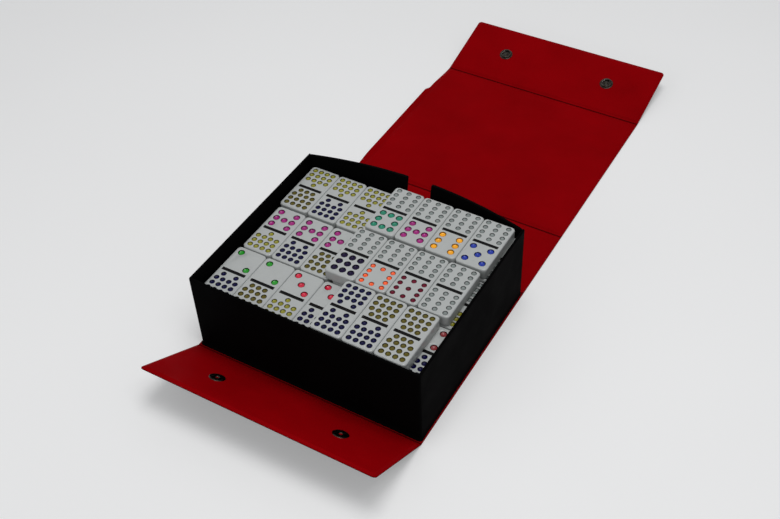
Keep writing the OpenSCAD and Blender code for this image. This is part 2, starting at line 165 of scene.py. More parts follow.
def vinyl(name, colour, worn, rough, grain, shine):
    """Sheet vinyl: cloudy colour, a fine pebbled grain and slow, shallow waves."""
    mat, tree, shader = new_material(name)
    shader.inputs["Specular IOR Level"].default_value = shine
    v = coords(tree)
    cloud = noise(tree, v, 18, 4, 0.6)
    tree.links.new(ramp(tree, cloud, [(0.3, colour), (0.75, worn)]), shader.inputs["Base Color"])
    patches = noise(tree, v, 45, 3)
    tree.links.new(spread(tree, patches, rough - 0.05, rough + 0.09), shader.inputs["Roughness"])
    cells = soft_cells(tree, v, 1250)
    fine = noise(tree, v, 2600, 2)
    slow = noise(tree, v, 34, 2, 0.45, 0.6)
    bump(tree, shader, [(slow, 0.2, 0.0012), (cells, grain, 0.00012), (fine, grain * 0.7, 0.00004)])
    return mat


def plain_gloss(name, colour, dark, rough, shine):
    """Polished tile or paint, with faint patches and a slightly uneven surface."""
    mat, tree, shader = new_material(name)
    shader.inputs["Specular IOR Level"].default_value = shine
    v = coords(tree)
    cloud = noise(tree, v, 120, 3)
    tree.links.new(ramp(tree, cloud, [(0.35, dark), (0.65, colour)]), shader.inputs["Base Color"])
    patches = noise(tree, v, 240, 3)
    tree.links.new(spread(tree, patches, rough - 0.02, rough + 0.04), shader.inputs["Roughness"])
    bump(tree, shader, [(noise(tree, v, 900, 2), 0.05, 0.00003)])
    return mat


def shade(colour, share):
    return tuple(c * share for c in colour)


BLACK = vinyl("black_vinyl_sheet", (0.0017, 0.0016, 0.0017), (0.0030, 0.0028, 0.0029), 0.5, 0.2, 0.004)
RED = vinyl("red_vinyl_sheet", (0.260, 0.0003, 0.0020), (0.330, 0.0004, 0.0028), 0.55, 0.08, 0.01)
# Darker red of the crease strips: painted shade in the folds.
FOLD_SHADE_RED = vinyl("fold_painted_shade", (0.075, 0.0002, 0.0010), (0.09, 0.0003, 0.0012), 0.6, 0.05, 0.01)
TILE = plain_gloss("polished_tile", (0.495, 0.512, 0.503), (0.483, 0.500, 0.491), 0.22, 0.4)
BAR = plain_gloss("black_bar_paint", (0.0022, 0.0022, 0.0024), (0.0016, 0.0016, 0.0016), 0.5, 0.08)

PIP_COLOURS = {
    2: (0.006, 0.240, 0.007),
    3: (0.520, 0.004, 0.034),
    4: (0.240, 0.036, 0.040),
    5: (0.002, 0.024, 0.300),
    6: (0.800, 0.340, 0.003),
    7: (0.280, 0.004, 0.150),
    8: (0.002, 0.190, 0.110),
    9: (0.008, 0.003, 0.027),
    10: (0.800, 0.090, 0.012),
    11: (0.115, 0.004, 0.018),
    12: (0.170, 0.192, 0.186),
    13: (0.210, 0.196, 0.008),
    14: (0.002, 0.002, 0.034),
    15: (0.095, 0.078, 0.012),
}
DARK_PIP = 0.12
PIP_PAINT_LIT, PIP_SHADE_RINGS = {}, {}
# Each pip colour is painted in two copies: a lighter one for the middle of the dimple, as painted light,
# and a much darker one for its outer part, as painted shade.
for n, c in PIP_COLOURS.items():
    shine = 0.08 if max(c) < DARK_PIP else 0.3
    # Lighter copy of the pip colour for the dimple's middle: painted light over the pip's own paint
    # colour.
    PIP_PAINT_LIT[n] = plain_gloss(f"pip_paint_lit_{n}", shade(c, 1.45), shade(c, 1.2), 0.17, shine)
    # Much darker copy of the pip colour for the dimple's outer part: painted shade.
    PIP_SHADE_RINGS[n] = plain_gloss(f"pip_painted_shade_{n}", shade(c, 0.2), shade(c, 0.16), 0.2, 0.02)

mat, tree, shader = new_material("grey_board_core")
v = coords(tree)
fibres = noise(tree, v, 700, 5, 0.7, 0.8)
paper = [(0.3, (0.30, 0.27, 0.22)), (0.7, (0.42, 0.38, 0.31))]
tree.links.new(ramp(tree, fibres, paper), shader.inputs["Base Color"])
shader.inputs["Roughness"].default_value = 0.9
bump(tree, shader, [(fibres, 0.5, 0.0001)])
BOARD = mat


def metal(name, low, middle, high):
    """Worn plating: three tones of tarnish, uneven gloss and fine polishing lines."""
    mat, tree, shader = new_material(name)
    v = coords(tree)
    tarnish = noise(tree, v, 420, 5, 0.65, 0.4)
    tones = [(0.32, low), (0.52, middle), (0.8, high)]
    tree.links.new(ramp(tree, tarnish, tones), shader.inputs["Base Color"])
    shader.inputs["Metallic"].default_value = 1.0
    tree.links.new(spread(tree, noise(tree, v, 900, 4), 0.22, 0.45), shader.inputs["Roughness"])
    bump(tree, shader, [(noise(tree, coords(tree, (1, 6, 1)), 1500, 3), 0.2, 0.00003)])
    return mat


NICKEL = metal("worn_nickel", (0.10, 0.09, 0.075), (0.24, 0.225, 0.20), (0.38, 0.36, 0.33))
DARK_NICKEL = metal("dark_nickel", (0.012, 0.010, 0.008), (0.030, 0.027, 0.023), (0.09, 0.085, 0.075))
BRIGHT_NICKEL = metal("bright_nickel", (0.30, 0.28, 0.24), (0.55, 0.53, 0.49), (0.75, 0.73, 0.69))


# Mesh helpers.
def make(name, points, faces, mats, indices=None, smooth=40):
    """Object from points in millimetres. Edges sharper than smooth degrees stay sharp."""
    mesh = bpy.data.meshes.new(name)
    mesh.from_pydata([tuple(c * MM for c in p) for p in points], [], faces)
    for m in mats:
        mesh.materials.append(m)
    if indices is not None:
        mesh.polygons.foreach_set("material_index", indices)
    bm = bmesh.new()
    bm.from_mesh(mesh)
    bmesh.ops.recalc_face_normals(bm, faces=bm.faces)
    bm.to_mesh(mesh)
    bm.free()
    mesh.polygons.foreach_set("use_smooth", [True] * len(mesh.polygons))
    mesh.set_sharp_from_angle(angle=math.radians(smooth))
    obj = bpy.data.objects.new(name, mesh)
    scene.collection.objects.link(obj)
    return obj


def settle(obj, body, slot, *nodes):
    """Rides on a body and stands for the CAD nodes that it replaces. Its slot is not used."""
    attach(obj, body)
    if nodes:
        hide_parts(*nodes)
    return obj


def bell(t, width):
    return math.exp(-((t / width) ** 2))


def lines(*parts):
    """Rising numbers from (start, stop, steps) runs, for a grid that is finer where it has to be."""
    values = []
    for start, stop, steps in parts:
        values += list(np.linspace(start, stop, steps + 1))
    return np.array(sorted(set(np.round(values, 5))))


WAVE_COUNT = 7
WAVE_SETS = {}


def waves(u, v, seed, size):
    """Slow, smooth unevenness from -1 to 1, the same on each run. Size is the shortest wave."""
    if seed not in WAVE_SETS:
        WAVE_SETS[seed] = np.random.RandomState(seed).uniform(-1, 1, (WAVE_COUNT, 3)).tolist()
    scale = 2 * math.pi / size
    total = sum(math.sin((u * a + v * b) * scale + c * 9) for a, b, c in WAVE_SETS[seed])
    return total / WAVE_COUNT


def step_up(t, low, high):
    """Smooth step from 0 at low to 1 at high."""
    t = min(max((t - low) / (high - low), 0.0), 1.0)
    return t * t * (3 - 2 * t)


# The wrap: five panels, each with its own frame, and the fold lines between them.
HALF_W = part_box("base_cover")[1].x / MM
AXIS_Z = JOINT_AT["lid_hinge"][2] / MM
FRONT_Y, BACK_Y, LID_Y, CLOSE_Y = (
    JOINT_AT[f"{name}_hinge"][1] / MM for name in ("front_flap", "back_panel", "lid", "closing_flap")
)
FRONT_ANGLE = math.radians(31)
CLOSE_ANGLE = math.radians(14)
FRONT_FLAP_L, CLOSING_FLAP_L = 70.45, 66.5
FLAP_CORNER_R = 3.0
COVER_T, LINING_T, BOARD_T = 0.4, 0.4, 1.4
FLANGE = COVER_T + LINING_T
PANEL_T = FLANGE + BOARD_T
CREASE = 0.8
BOARD_FROM_FOLD = 3.2
BOARD_FROM_EDGE = 2.2
BOARD_CORNER_R = 3.0
WELD_LINE = 1.15
WELD_DEEP = 0.16


def flat(y):
    """Place in a panel, as across, along and up, for one that lies flat from y backwards."""
    return lambda u, v, w: (u, y + v, w)


def raised(y, angle, way):
    """The same for a flap that stands at an angle about its fold line."""
    c, s = math.cos(angle), math.sin(angle)

    def place(u, v, w):
        up = w - AXIS_Z
        return (u, y + way * (v * c - up * s), AXIS_Z + v * s + up * c)

    return place


PANELS = {
    "base": (flat(FRONT_Y), BACK_Y - FRONT_Y, False),
    "back_panel": (flat(BACK_Y), LID_Y - BACK_Y, False),
    "lid": (flat(LID_Y), CLOSE_Y - LID_Y, False),
    "closing_flap": (raised(CLOSE_Y, CLOSE_ANGLE, 1), CLOSING_FLAP_L, True),
    "front_flap": (raised(FRONT_Y, FRONT_ANGLE, -1), FRONT_FLAP_L, True),
}


def outer_edge(v, length, free):
    """Half width of a panel's sheets at v, with round corners at a free end."""
    if not free:
        return np.full_like(v, HALF_W)
    r = FLAP_CORNER_R
    d = np.clip(v - (length - r), 0, r)
    return HALF_W - (r - np.sqrt(np.maximum(r * r - d * d, 0)))


def sheet(place, us, vs, left, right, top, bottom):
    """Closed sheet over a grid: us run from -1 to 1 across a width that may change with v."""
    points = []
    for surface in (top, bottom):
        for j, v in enumerate(vs):
            for u in us:
                x = u * (right[j] if u > 0 else left[j])
                points.append(place(x, v, surface(x, v)))
    nu, nv = len(us), len(vs)
    faces, kinds = [], []
    k = nu * nv
    for j in range(nv - 1):
        for i in range(nu - 1):
            a = j * nu + i
            faces.append((a, a + 1, a + nu + 1, a + nu))
            faces.append((k + a, k + a + nu, k + a + nu + 1, k + a + 1))
            kinds += [0, 1]
    for i in range(nu - 1):
        b = (nv - 1) * nu + i
        faces.append((i, k + i, k + i + 1, i + 1))
        faces.append((b, b + 1, k + b + 1, k + b))
        kinds += [2, 2]
    for j in range(nv - 1):
        a, b = j * nu, j * nu + nu - 1
        faces.append((a, a + nu, k + a + nu, k + a))
        faces.append((b, k + b, k + b + nu, b + nu))
        kinds += [2, 2]
    return points, faces, kinds


def panel_grid(length, free):
    """Grid lines of a panel, fine at its edges, where the sheets step down off the board."""
    side = 1 - 2.6 * BOARD_FROM_EDGE / HALF_W
    near, end = 6, 9
    us = lines((-1, -side, 14), (-side, side, 56), (side, 1, 14))
    if free:
        return us, lines((CREASE, near, 12), (near, length - end, 24), (length - end, length, 26))
    far = length - near
    return us, lines((CREASE, near, 12), (near, far, max(12, int(length / 2))), (far, length - CREASE, 12))


def board_depth(x, v, length, free):
    """How far a point lies inside the edge of a panel's board, negative outside it."""
    r = BOARD_CORNER_R
    near = v - BOARD_FROM_FOLD
    far = length - (BOARD_FROM_EDGE if free else BOARD_FROM_FOLD) - v
    a, b = min(HALF_W - BOARD_FROM_EDGE - abs(x), r), min(near, far, r)
    if a < r and b < r:
        return r - math.hypot(r - a, r - b)
    return min(a, b)


LOOSE = 3.5


def loose_edge(name, v, length):
    """How far the left edge has worked loose beyond the panel's outline, round the lid's crease."""
    if name == "back_panel":
        return LOOSE * step_up(v, length - 26, length - 2)
    if name == "lid":
        wide = 1 - 0.55 * step_up(v, length - 44, length - 37)
        return LOOSE * wide * (1 - step_up(v, length - 34, length - 1.5))
    return 0.0


# Drawn wrinkles by the closing flap's left snap: middle, slope, length and depth of each.
WRINKLE_W = 1.7
WRINKLES = ((-66, 22, 0.42, 19, 0.34), (-60, 36, 0.62, 22, 0.30), (-70, 12, 0.3, 16, 0.28))


def wrinkles(x, v):
    total = 0.0
    for x0, v0, slope, long, deep in WRINKLES:
        total += deep * bell(v - v0 - slope * (x - x0), WRINKLE_W) * bell(x - x0, long)
    return total


def add_panel(name, seed):
    """One panel: the red sheet that is drawn over the board, and the black sheet under it."""
    place, length, free = PANELS[name]
    us, vs = panel_grid(length, free)
    right = outer_edge(vs, length, free)
    left = right + np.array([loose_edge(name, v, length) for v in vs])
    curl_from = HALF_W - 1.2

    def from_edge(x, v):
        return min(HALF_W - abs(x), (length - v) if free else 9)

    def curl(x, v):
        """The lid's loose left edge turns up a little."""
        if name != "lid" or -x < curl_from:
            return 0.0
        loose = loose_edge(name, v, length) / LOOSE
        return 1.5 * step_up(v, 2, 20) * loose * step_up(-x, curl_from, HALF_W + LOOSE)

    def relief(x, v):
        rise = step_up(board_depth(x, v, length, free), -1.9, 1.1)
        uneven = 0.16 * waves(x, v, seed, 70) + 0.07 * waves(x, v, seed + 5, 23)
        height = FLANGE + (BOARD_T + uneven - 0.16) * rise
        height -= WELD_DEEP * bell(from_edge(x, v) - WELD_LINE, 0.3)
        if name == "closing_flap":
            height -= wrinkles(x, v) * rise
        if name == "lid":
            height += 0.12 * rise * bell(v - 8, 16) * math.sin(x / 11)
            groove = bell(x + HALF_W - 1.4, 0.55) * loose_edge(name, v, length) / LOOSE
            height += curl(x, v) - 0.3 * groove
        return height

    def under(x, v):
        return max(relief(x, v) - LINING_T, COVER_T + curl(x, v))

    points, faces, _ = sheet(place, us, vs, left, right, relief, under)
    lining = make(f"{name}_red_sheet", points, faces, [RED], smooth=50)
    settle(lining, name, "red_vinyl", f"{name}_lining", f"{name}_board")

    def skin_top(x, v):
        return COVER_T + curl(x, v)

    def skin_bottom(x, v):
        """The outside is pressed in along the welds and creases, and beside the board."""
        fold = v if free else min(v, length - v)
        weld = 0.13 * bell(from_edge(x, v) - WELD_LINE, 0.35)
        crease = 0.10 * bell(fold - 1.6, 0.5)
        press = 0.10 * (1 - step_up(board_depth(x, v, length, free), -1.2, 0.8))
        return weld + crease + press + curl(x, v)

    points, faces, _ = sheet(place, us, vs, left, right, skin_top, skin_bottom)
    cover = make(f"{name}_black_sheet", points, faces, [BLACK], smooth=50)
    settle(cover, name, "black_vinyl", f"{name}_cover")


for index, panel in enumerate(PANELS):
    add_panel(panel, 11 + 7 * index)


def add_crease(node, fold, angle, way):
    """Pressed strip that bends about its fold line: dark red above, as painted shade along the fold, and
    black below.
    """
    us = lines((-1, 1, 40))
    steps = lines((-CREASE, CREASE, 12))
    c, s = math.cos(angle), math.sin(angle)
    bend = 0.35

    def place(x, t, w):
        up = w - AXIS_Z
        if abs(t) < bend:
            a = angle * step_up(t, -CREASE, CREASE)
            y, z = t * math.cos(a / 2) - up * math.sin(a), max(t, 0) * s + up * math.cos(a)
        elif t > 0:
            y, z = t * c - up * s, t * s + up * c
        else:
            y, z = t, up
        return (x, fold + way * y, AXIS_Z + z)

    def top(x, t):
        return FLANGE - 0.22 * bell(t, 0.42) + 0.02 * math.sin(x / 1.3)

    def bottom(x, t):
        return 0.12 * bell(t, 0.5)

    half = np.full_like(steps, HALF_W)
    left = half + LOOSE if node == "lid_crease" else half
    points, faces, kinds = sheet(place, us, steps, left, half, top, bottom)
    kinds = [1 if k == 1 else 0 for k in kinds]
    obj = make(f"{node}_strip", points, faces, [FOLD_SHADE_RED, BLACK], kinds, smooth=60)
    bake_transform(obj)
    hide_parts(node)


add_crease("front_crease", FRONT_Y, FRONT_ANGLE, -1)
add_crease("back_crease", BACK_Y, 0, 1)
add_crease("lid_crease", LID_Y, 0, 1)
add_crease("closing_crease", CLOSE_Y, CLOSE_ANGLE, 1)


# The tray's three straight walls: vinyl drawn over board, with a round rim.
tray_low, tray_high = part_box("tray_cover")
TRAY_X = tray_high.x / MM
TRAY_Y = -tray_low.y / MM
FOOT_Z = tray_low.z / MM
RIM_Z = tray_high.z / MM
wall_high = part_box("back_wall_cover")[1]
INSIDE_X = wall_high.x / MM
WALL_T = TRAY_X - INSIDE_X
INSIDE_Y = TRAY_Y - WALL_T
BACK_BOW = wall_high.y / MM - TRAY_Y
CORNER_R = 1.8
SKIN_INSET = 0.1


def wall_path():
    """Outer points along the three walls, from the back left to the back right."""
    end_x, end_y = TRAY_X - CORNER_R, -TRAY_Y + CORNER_R

    def corner(side, start):
        angles = np.radians(np.linspace(start, start + 90, 8, endpoint=False))
        return [(side * end_x + CORNER_R * math.cos(t), end_y + CORNER_R * math.sin(t)) for t in angles]

    path = [(-TRAY_X, y) for y in np.linspace(TRAY_Y, end_y, 26, endpoint=False)]
    path += corner(-1, 180)
    path += [(x, -TRAY_Y) for x in np.linspace(-end_x, end_x, 30, endpoint=False)]
    path += corner(1, 270)
    path += [(TRAY_X, y) for y in np.linspace(end_y, TRAY_Y, 26)]
    return path


def wall_profile():
    """Wall section as (share of the thickness from outside, height), round at the rim."""
    r = WALL_T / 2
    below_rim = RIM_Z - r - 2
    points = [(0.0, FOOT_Z + z) for z in (-1.3, -1.0, -0.5, 0.2, 1.4)]
    points += [(0.0, z) for z in np.linspace(FOOT_Z + 6, below_rim, 9)]
    for t in np.radians(np.linspace(180, 0, 13)):
        points.append(((1 + math.cos(t)) / 2, RIM_Z - r + r * math.sin(t)))
    points += [(1.0, z) for z in np.linspace(below_rim, FOOT_Z + 2.2, 7)]
    points.append((1.0, FOOT_Z))
    return points


def tray_walls():
    """The section swept along the walls. Its foot flares out over the lining, most in front."""
    path, profile = wall_path(), wall_profile()
    points = []
    for ox, oy in path:
        ix, iy = min(max(ox, -INSIDE_X), INSIDE_X), max(oy, -INSIDE_Y)
        size = math.hypot(ox - ix, oy - iy)
        nx, ny = (ox - ix) / size, (oy - iy) / size
        for share, z in profile:
            foot = (0.5 + 1.2 * max(0.0, -ny)) * (1 - step_up(z, FOOT_Z - 1.6, FOOT_Z + 1.4))
            out = (0.10 * waves(ox + oy, z, 3, 60) + foot - SKIN_INSET) * (1 - share)
            lift = 0.10 * waves(ox, oy, 8, 90) - SKIN_INSET if z > RIM_Z - 2 else 0
            x, y = ox + (ix - ox) * share, oy + (iy - oy) * share
            points.append((x + nx * out, y + ny * out, z + lift))
    n, m = len(path), len(profile)
    faces = [tuple(range(m)), tuple((n - 1) * m + k for k in reversed(range(m)))]
    for i in range(n - 1):
        for k in range(m):
            a, b = i * m + k, i * m + (k + 1) % m
            faces.append((a, b, b + m, a + m))
    return make("tray_vinyl_walls", points, faces, [BLACK], smooth=45)


wall_boards = [f"{side}_wall_board" for side in ("front", "left", "right")]
settle(tray_walls(), "base", "black_vinyl", "tray_cover", *wall_boards)


# The bowed back wall with its finger notch.
NOTCH_W, NOTCH_DEPTH = 21.0, 32.0


def bow(x):
    return BACK_BOW * (1 - (x / INSIDE_X) ** 2)


def back_wall():
    """Two skins of a grid of columns, joined at their edges and rounded there."""
    r = NOTCH_W / 2
    round_z = RIM_Z - NOTCH_DEPTH + r
    lip = 0.9
    side = list(np.linspace(-INSIDE_X + 0.05, -r - lip, 24))
    side += list(-r - lip * np.cos(np.radians(np.linspace(0, 90, 6)[1:])))
    left = sorted(set(round(x, 4) for x in side))
    foot = list(np.linspace(FOOT_Z, round_z - r - 4, 9))

    def beside_notch(x):
        low = foot + list(np.linspace(foot[-1], round_z, 6)[1:])
        near = max(0.0, lip - (abs(x) - r))
        top = RIM_Z - (lip - math.sqrt(max(lip * lip - near * near, 0)))
        return low + list(np.linspace(round_z, top, 8)[1:])

    def under_notch(x):
        end = round_z - math.sqrt(max(r * r - x * x, 0))
        return foot + list(np.linspace(foot[-1], end, 6)[1:])

    columns = [(x, beside_notch(x)) for x in left]
    for a in np.radians(np.linspace(-90, 90, 19)[1:-1]):
        columns.append((r * math.sin(a), under_notch(r * math.sin(a))))
    columns += [(-x, beside_notch(-x)) for x in reversed(left)]

    ids, points, faces = {}, [], []
    for skin, y in enumerate((INSIDE_Y, INSIDE_Y + WALL_T)):
        for i, (x, heights) in enumerate(columns):
            for k, z in enumerate(heights):
                ids[skin, i, k] = len(points)
                points.append((x, y + bow(x) * (z - FOOT_Z) / (RIM_Z - FOOT_Z), z))
    edges = {}
    for i in range(len(columns) - 1):
        for k in range(min(len(columns[i][1]), len(columns[i + 1][1])) - 1):
            for skin in (0, 1):
                loop = [ids[skin, i, k], ids[skin, i + 1, k], ids[skin, i + 1, k + 1], ids[skin, i, k + 1]]
                if skin:
                    loop.reverse()
                faces.append(tuple(loop))
                for a, b in zip(loop, loop[1:] + loop[:1]):
                    edges.setdefault(frozenset((a, b)), []).append((a, b))
    offset = len(points) // 2
    for a, b in (pair[0] for pair in edges.values() if len(pair) == 1):
        if a < offset and b < offset:
            faces.append((b, a, a + offset, b + offset))
    obj = make("back_wall_vinyl", points, faces, [BLACK], smooth=45)
    mod = obj.modifiers.new("edges", "BEVEL")
    mod.width = 1.05 * MM
    mod.segments = 4
    mod.limit_method = "ANGLE"
    mod.angle_limit = math.radians(50)
    bpy.context.view_layer.update()
    dg = bpy.context.evaluated_depsgraph_get()
    mesh = bpy.data.meshes.new_from_object(obj.evaluated_get(dg))
    obj.modifiers.clear()
    obj.data = mesh
    return obj


wall = back_wall()
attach(wall, "base")
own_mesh(wall)
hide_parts("back_wall_cover", "back_wall_board")
for name, finish in (("floor_board", BOARD), ("floor_lining", BLACK)):
    NODES[name].data.materials.clear()
    NODES[name].data.materials.append(finish)


# Dominoes: rounded tiles with painted dimples.
TILE_W, TILE_L, TILE_H = 25.4, 50.8, 9.5
TILE_R, TILE_EDGE = 3.0, 1.2
BAR_L, BAR_W = 20.5, 2.8
BIG, WIDE, STEP = TILE_W * 0.276, TILE_W * 0.327, TILE_W * 0.216
FOUR = (-1.5, -0.5, 0.5, 1.5)
CORNERS = [(-BIG, -BIG), (BIG, -BIG), (-BIG, BIG), (BIG, BIG)]
SIDES = [(-BIG, 0), (BIG, 0)]
ENDS = [(0, -BIG), (0, BIG)]
FOUR_SHIFT = 0.9
FOUR_ROWS = [k * STEP + FOUR_SHIFT for k in FOUR]
TWO_FOURS = [(x, y) for x in (-WIDE, WIDE) for y in FOUR_ROWS]
THREE_ROWS = [(x * STEP, y * STEP) for x in FOUR for y in (-0.5, 0.5, 1.5)]


def inner_row(places):
    return [(x * STEP, -1.45 * STEP) for x in places]


# Where each number's pips lie about the middle of its half, with y growing towards the tile's end.
PATTERNS = {
    0: [],
    2: [CORNERS[1], CORNERS[2]],
    3: [CORNERS[1], (0, 0), CORNERS[2]],
    4: CORNERS,
    5: CORNERS + [(0, 0)],
    6: CORNERS + SIDES,
    7: CORNERS + SIDES + [(0, 0)],
    8: CORNERS + SIDES + ENDS,
    9: CORNERS + SIDES + ENDS + [(0, 0)],
    10: TWO_FOURS + [(0, FOUR_ROWS[0]), (0, FOUR_ROWS[3])],
    11: TWO_FOURS + [(0, FOUR_ROWS[0]), (0, FOUR_SHIFT), (0, FOUR_ROWS[3])],
    12: TWO_FOURS + [(0, y) for y in FOUR_ROWS],
    13: THREE_ROWS + inner_row([0]),
    14: THREE_ROWS + inner_row([-1, 1]),
    15: THREE_ROWS + inner_row([-1, 0, 1]),
}


def pip_size(n):
    return 5.5 if n < 10 else 4.1 if n < 13 else 4.3


def round_loop(w, l, r, n):
    """Rectangle with round corners of n steps each."""
    loop = []
    for sx, sy, start in ((1, 1, 0), (-1, 1, 90), (-1, -1, 180), (1, -1, 270)):
        for k in range(n + 1):
            a = math.radians(start + 90 * k / n)
            loop.append((sx * (w / 2 - r) + r * math.cos(a), sy * (l / 2 - r) + r * math.sin(a)))
    return loop


class Build:
    """Gathers points, faces and material numbers of one piece."""

    def __init__(self):
        self.points, self.faces, self.mats = [], [], []

    def add(self, pts):
        start = len(self.points)
        self.points += pts
        return list(range(start, start + len(pts)))

    def face(self, ids, mat=0):
        self.faces.append(tuple(ids))
        self.mats.append(mat)

    def bridge(self, a, b, mat=0):
        n = len(a)
        for i in range(n):
            j = (i + 1) % n
            self.face((a[i], a[j], b[j], b[i]), mat)

    def fan(self, loop, centre, mat=0):
        n = len(loop)
        for i in range(n):
            self.face((loop[i], loop[(i + 1) % n], centre), mat)


def tile_body(build, at, n, m):
    """Sides, round edges and underside. Gives back the loop round the flat top. Corners have n steps
    in plan and m in height."""
    x0, y0, z0 = at
    rings = []
    for k in range(m + 1):
        a = math.radians(90 * k / m)
        rings.append((TILE_EDGE * (1 - math.sin(a)), TILE_EDGE * (1 - math.cos(a))))
    rings += [(inset, TILE_H - z) for inset, z in reversed(rings)]
    last = None
    for inset, z in rings:
        loop = round_loop(TILE_W - 2 * inset, TILE_L - 2 * inset, TILE_R - inset * 0.8, n)
        ids = build.add([(x0 + x, y0 + y, z0 + z) for x, y in loop])
        if last is None:
            build.face(ids[::-1])
        else:
            build.bridge(last, ids)
        last = ids
    return last


def circle(centre, r, n=20):
    angles = [2 * math.pi * i / n for i in range(n)]
    return [(centre[0] + r * math.cos(t), centre[1] + r * math.sin(t)) for t in angles]


# A dimple is a part of a sphere under a small round edge. Its outer part has a much darker copy of the
# pip's paint as painted shade, and its middle a lighter copy as painted light.
DIMPLE_SHARES = (0.97, 0.88, 0.77, 0.62, 0.45, 0.28, 0.13)
DIMPLE_SHADE_FROM = 0.62
DIMPLE_BALL = 1.45
EDGE_DROP = 0.05


def dimple(build, loop, centre, radius, mat, z):
    ball = radius * DIMPLE_BALL
    rise = math.sqrt(ball**2 - (radius * DIMPLE_SHARES[0]) ** 2)
    last = loop
    for share in DIMPLE_SHARES:
        depth = EDGE_DROP + math.sqrt(ball**2 - (radius * share) ** 2) - rise
        ids = build.add([(x, y, z - depth) for x, y in circle(centre, radius * share, len(loop))])
        # Rings beyond the shade share take the darker copy of the paint: painted shade.
        build.bridge(last, ids, mat + 1 if share > DIMPLE_SHADE_FROM else mat)
        last = ids
    tip = build.add([(*centre, z - EDGE_DROP - ball + rise)])[0]
    build.fan(last, tip, mat)


def tile_top(build, ring, at, face, slots):
    """Flat top with holes for the bar and the pips, then the dimples in them."""
    x0, y0, z0 = at
    z = z0 + TILE_H
    verts = [(build.points[i][0] - x0, build.points[i][1] - y0) for i in ring]
    loops = [list(range(len(verts)))]

    def add_loop(points):
        loops.append(list(range(len(verts), len(verts) + len(points))))
        verts.extend(points)
        return loops[-1]

    pips = []
    for n, sign in ((face[0], 1), (face[1], -1)):
        r = pip_size(n) / 2
        for px, py in PATTERNS[n]:
            centre = (sign * px, sign * (TILE_L / 4 + py))
            pips.append((centre, r, slots[n], add_loop(circle(centre, r))))
    bar = add_loop(round_loop(BAR_L, BAR_W, 0.3, 2))
    edges = [(l[i], l[(i + 1) % len(l)]) for l in loops for i in range(len(l))]
    out = delaunay_2d_cdt([Vector(p) for p in verts], edges, [], 1, 1e-6)
    new_verts, tris, origins = out[0], out[2], out[3]
    where = {source: i for i, sources in enumerate(origins) for source in sources}
    ids = []
    for i, p in enumerate(new_verts):
        source = next((s for s in origins[i] if s < len(ring)), None)
        ids.append(ring[source] if source is not None else build.add([(x0 + p[0], y0 + p[1], z)])[0])
    for tri in tris:
        cx = sum(new_verts[i][0] for i in tri) / 3
        cy = sum(new_verts[i][1] for i in tri) / 3
        in_bar = abs(cx) < BAR_L / 2 and abs(cy) < BAR_W / 2
        if not in_bar and all(math.hypot(cx - c[0], cy - c[1]) >= r * 0.985 for c, r, _, _ in pips):
            build.face([ids[i] for i in tri])
    for centre, r, mat, loop in pips:
        dimple(build, [ids[where[i]] for i in loop], (x0 + centre[0], y0 + centre[1]), r, mat, z)
    rim = [ids[where[i]] for i in bar]
    corners = [build.points[i] for i in rim]
    groove = [(x0 + (x - x0) * 0.995, y0 + (y - y0) * 0.84, z - 0.32) for x, y, _ in corners]
    groove = build.add(groove)
    build.bridge(rim, groove, 1)
    build.face(groove, 1)


def tile_mats(faces):
    numbers = sorted({n for f in faces for n in f if n})
    # Each number gets its lighter paint (painted light) and its darker ring paint (painted shade).
    paints = [m for n in numbers for m in (PIP_PAINT_LIT[n], PIP_SHADE_RINGS[n])]
    return [TILE, BAR] + paints, {n: 2 * i + 2 for i, n in enumerate(numbers)}


def add_tile(name, face, node):
    low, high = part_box(node)
    at = ((low.x + high.x) / 2 / MM, (low.y + high.y) / 2 / MM, low.z / MM)
    mats, slots = tile_mats([face])
    build = Build()
    ring = tile_body(build, at, 5, 4)
    tile_top(build, ring, at, face, slots)
    obj = make(name, build.points, build.faces, mats, build.mats, smooth=35)
    settle(obj, "base", "tile_white", node)


TOP_FACES = [(12, n) for n in (8, 7, 6, 5, 9, 10, 11, 12)] + [(14, 14), (15, 14), (15, 15)]
LOWER_FACES = [
    (13, 15), (13, 14), (13, 13), (7, 13), (7, 14), (7, 15), (2, 14), (2, 15), (3, 13), (3, 14),
]
for a, b in TOP_FACES + LOWER_FACES:
    add_tile(f"tile_{a}_{b}", (a, b), f"domino_{a}_{b}")


def solids_at(node):
    """Centre and foot of each loose tile in a CAD node, from its separate solids."""
    bm = bmesh.new()
    bm.from_mesh(NODES[node].data)
    bmesh.ops.remove_doubles(bm, verts=bm.verts, dist=1e-6)
    left, found = set(bm.verts), []
    while left:
        stack, island = [left.pop()], []
        while stack:
            vert = stack.pop()
            island.append(vert.co.copy())
            near = {e.other_vert(vert) for e in vert.link_edges} & left
            left -= near
            stack += near
        lows, highs = ([most(c) / MM for c in zip(*island)] for most in (min, max))
        found.append(((lows[0] + highs[0]) / 2, (lows[1] + highs[1]) / 2, lows[2]))
    bm.free()
    return sorted(found)


ROW_SIZE = 40


def add_plain_layer(name, node, shown):
    """A layer of tiles that lie hidden, apart from the pips that shown gives for the last of each row."""
    places = solids_at(node)
    mats, slots = tile_mats(shown.values()) if shown else ([TILE], {})
    build = Build()
    edge_x = max(p[0] for p in places)
    for at in places:
        if shown and at[0] > edge_x - 5:
            ring = tile_body(build, at, 5, 4)
            tile_top(build, ring, at, shown[round(at[1] / ROW_SIZE)], slots)
        else:
            build.face(tile_body(build, at, 3, 2))
    obj = make(name, build.points, build.faces, mats, build.mats, smooth=35)
    settle(obj, "base", "tile_white", node)


